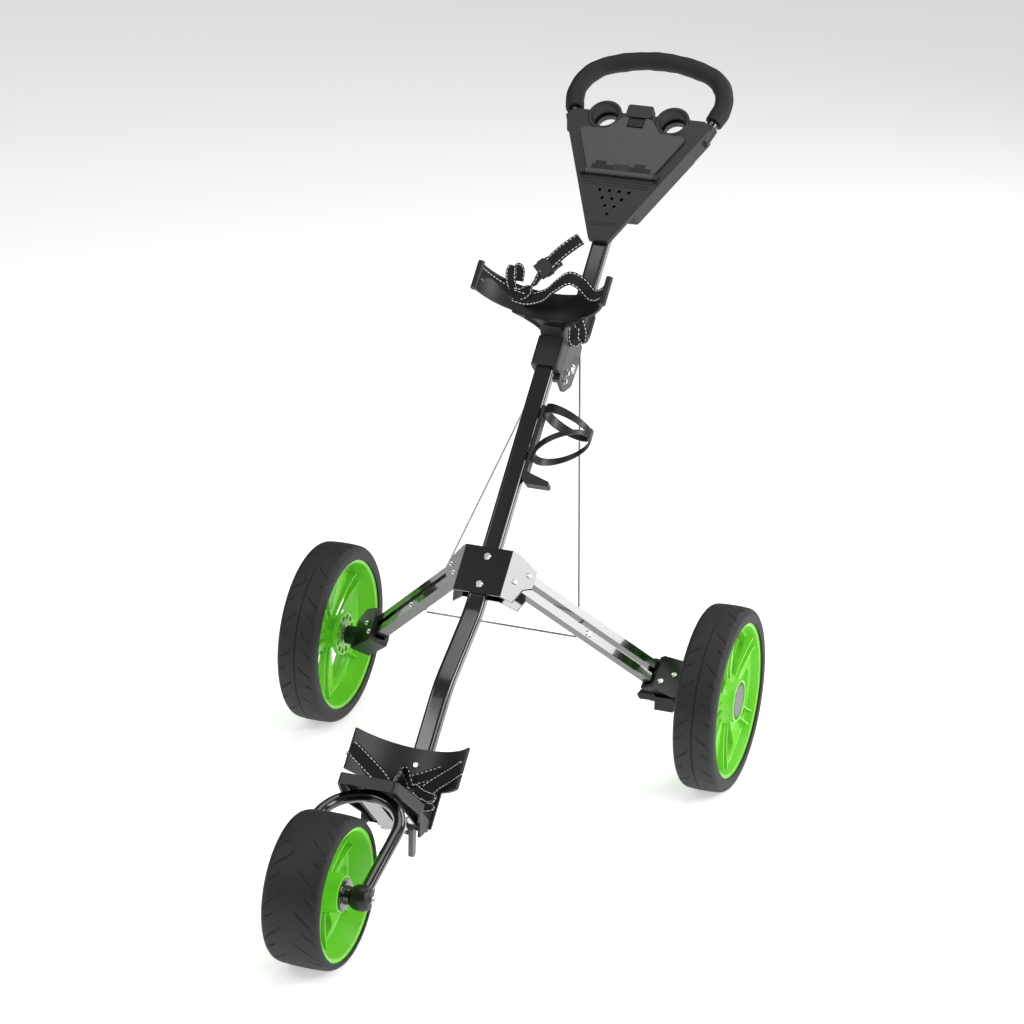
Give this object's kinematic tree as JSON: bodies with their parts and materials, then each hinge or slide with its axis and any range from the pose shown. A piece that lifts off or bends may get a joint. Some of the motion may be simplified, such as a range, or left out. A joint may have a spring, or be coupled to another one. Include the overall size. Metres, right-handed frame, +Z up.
{
  "type": "golf push trolley",
  "caption": "Folding golf bag push trolley: sloping box tube, splayed arm pairs with large wheels, fork-mounted front wheel, bag cradles, bottle ring and console handle.",
  "frame": {"origin": "on the ground, under the middle of the bounding box", "axes": "+Z up, -Y towards the front wheel, +X to the right of someone facing +Y, the side with the bottle ring and the brake"},
  "size_m": [0.72, 1.4902, 1.0114],
  "materials": {
    "black_tube": "gloss",
    "bright_steel": "satin",
    "black_plastic": "satin",
    "grey_plastic": "satin",
    "lime_plastic": "gloss",
    "foam_tyre": "matt",
    "foam_grip": "matt",
    "webbing": "woven"
  },
  "bodies": {
    "frame": {"main_tube": "black_tube", "hub_front_plate": "black_tube", "hub_back_plate": "black_tube", "pivot_bushes": "bright_steel", "frame_bolts": "bright_steel", "hinge_collar": "black_plastic", "hinge_block": "black_plastic", "handle_hinge_pin": "bright_steel", "upper_cradle": "black_plastic", "upper_strap": "webbing", "strap_buckle": "black_plastic", "lower_cradle": "black_plastic", "foot_ledge": "black_plastic", "lower_strap": "webbing", "bottle_rail": "black_plastic", "bottle_cage": "black_plastic", "fork_hinge_plates": "bright_steel", "fork_hinge_pin": "bright_steel", "arm_wires": "bright_steel", "limit_wire": "bright_steel"},
    "handle": {"handle_shoe": "black_plastic", "upper_shaft": "black_tube", "console_tray": "grey_plastic", "console_back": "grey_plastic", "lid_hinge_pin": "bright_steel", "handlebar": "black_tube", "handle_grip": "foam_grip"},
    "twist_lock": {"twist_lock_collar": "black_plastic"},
    "lid": {"console_lid": "grey_plastic"},
    "lid_latch": {"lid_latch": "grey_plastic"},
    "fork": {"front_fork": "black_tube", "front_axle": "bright_steel", "axle_end_caps": "black_plastic"},
    "front_wheel": {"front_rim": "lime_plastic", "front_tyre": "foam_tyre", "front_bearings": "bright_steel"},
    "fork_latch": {"fork_latch_lever": "grey_plastic"},
    "brake_pedal": {"brake_pedal": "black_plastic"},
    "brake_pin": {"brake_pin": "bright_steel"},
    "upper_link_right": {"upper_arm_right": "black_tube"},
    "lower_link_right": {"lower_arm_right": "black_tube", "arm_bolt_right": "bright_steel"},
    "carrier_right": {"axle_housing_right": "black_plastic", "housing_bolts_right": "bright_steel", "rear_axle_right": "bright_steel", "brake_box": "black_plastic"},
    "rear_wheel_right": {"rear_rim_right": "lime_plastic", "rear_tyre_right": "foam_tyre", "rear_bearings_right": "bright_steel", "hub_cap_right": "grey_plastic"},
    "upper_link_left": {"upper_arm_left": "black_tube"},
    "lower_link_left": {"lower_arm_left": "black_tube", "arm_bolt_left": "bright_steel"},
    "carrier_left": {"axle_housing_left": "black_plastic", "housing_bolts_left": "bright_steel", "rear_axle_left": "bright_steel"},
    "rear_wheel_left": {"rear_rim_left": "lime_plastic", "rear_tyre_left": "foam_tyre", "rear_bearings_left": "bright_steel", "hub_cap_left": "grey_plastic"}
  },
  "joints": [
    {"name": "handle_fold", "type": "hinge", "parent": "frame", "child": "handle", "pos_m": [0, 0.27449, 0.59559], "axis": [-1, 0, 0], "range_deg": [0, 160]},
    {"name": "twist_lock", "type": "hinge", "parent": "handle", "child": "twist_lock", "pos_m": [0, 0.3524, 0.64573], "axis": [0, 0.6884, 0.7254], "range_deg": [0, 90]},
    {"name": "lid_open", "type": "hinge", "parent": "handle", "child": "lid", "pos_m": [0, 0.52936, 0.8497], "axis": [1, 0, 0], "range_deg": [0, 110]},
    {"name": "latch_press", "type": "slide", "parent": "handle", "child": "lid_latch", "axis": [0, -0.749, -0.6626], "range_m": [0, 0.001], "stiffness_N_per_m": 300},
    {"name": "upper_arm_right_fold", "type": "hinge", "parent": "frame", "child": "upper_link_right", "pos_m": [0.05387, -0.00781, 0.35064], "axis": [-0.7559, 0.4749, -0.4507], "range_deg": [0, 82.6]},
    {"name": "lower_arm_right_fold", "type": "hinge", "parent": "frame", "child": "lower_link_right", "pos_m": [0.03979, -0.03302, 0.34768], "axis": [-0.7559, 0.4749, -0.4507], "range_deg": [0, 82.6]},
    {"name": "carrier_right_turn", "type": "hinge", "parent": "upper_link_right", "child": "carrier_right", "pos_m": [0.24541, 0.12643, 0.17087], "axis": [-0.7559, 0.4749, -0.4507], "range_deg": [-82.6, 0]},
    {"name": "rear_wheel_right_spin", "type": "hinge", "parent": "carrier_right", "child": "rear_wheel_right", "pos_m": [0.3275, 0.1365, 0.145], "axis": [1, 0, 0], "continuous": true},
    {"name": "upper_arm_left_fold", "type": "hinge", "parent": "frame", "child": "upper_link_left", "pos_m": [-0.05387, -0.00781, 0.35064], "axis": [-0.7559, -0.4749, 0.4507], "range_deg": [0, 82.6]},
    {"name": "lower_arm_left_fold", "type": "hinge", "parent": "frame", "child": "lower_link_left", "pos_m": [-0.03979, -0.03302, 0.34768], "axis": [-0.7559, -0.4749, 0.4507], "range_deg": [0, 82.6]},
    {"name": "carrier_left_turn", "type": "hinge", "parent": "upper_link_left", "child": "carrier_left", "pos_m": [-0.24541, 0.12643, 0.17087], "axis": [-0.7559, -0.4749, 0.4507], "range_deg": [-82.6, 0]},
    {"name": "rear_wheel_left_spin", "type": "hinge", "parent": "carrier_left", "child": "rear_wheel_left", "pos_m": [-0.3275, 0.1365, 0.145], "axis": [1, 0, 0], "continuous": true},
    {"name": "front_fork_fold", "type": "hinge", "parent": "frame", "child": "fork", "pos_m": [0, -0.37937, 0.09252], "axis": [1, 0, 0], "range_deg": [0, 165]},
    {"name": "front_wheel_spin", "type": "hinge", "parent": "fork", "child": "front_wheel", "pos_m": [0, -0.6385, 0.107], "axis": [1, 0, 0], "continuous": true},
    {"name": "fork_latch_lift", "type": "hinge", "parent": "frame", "child": "fork_latch", "pos_m": [0.022, -0.36214, 0.08307], "axis": [1, 0, 0], "range_deg": [0, 40]},
    {"name": "brake_pedal_press", "type": "hinge", "parent": "carrier_right", "child": "brake_pedal", "pos_m": [0.232, 0.1065, 0.146], "axis": [0, -1, 0], "range_deg": [0, 20]},
    {"name": "brake_pin_slide", "type": "slide", "parent": "carrier_right", "child": "brake_pin", "axis": [1, 0, 0], "range_m": [0, 0.022]}
  ],
  "couplings": [
    {"joint": "upper_arm_right_fold", "follows": "handle_fold", "ratio": 0.51625},
    {"joint": "lower_arm_right_fold", "follows": "handle_fold", "ratio": 0.51625},
    {"joint": "carrier_right_turn", "follows": "handle_fold", "ratio": -0.51625},
    {"joint": "upper_arm_left_fold", "follows": "handle_fold", "ratio": 0.51625},
    {"joint": "lower_arm_left_fold", "follows": "handle_fold", "ratio": 0.51625},
    {"joint": "carrier_left_turn", "follows": "handle_fold", "ratio": -0.51625},
    {"joint": "brake_pin_slide", "follows": "brake_pedal_press", "m_per_rad": 0.063019}
  ]
}
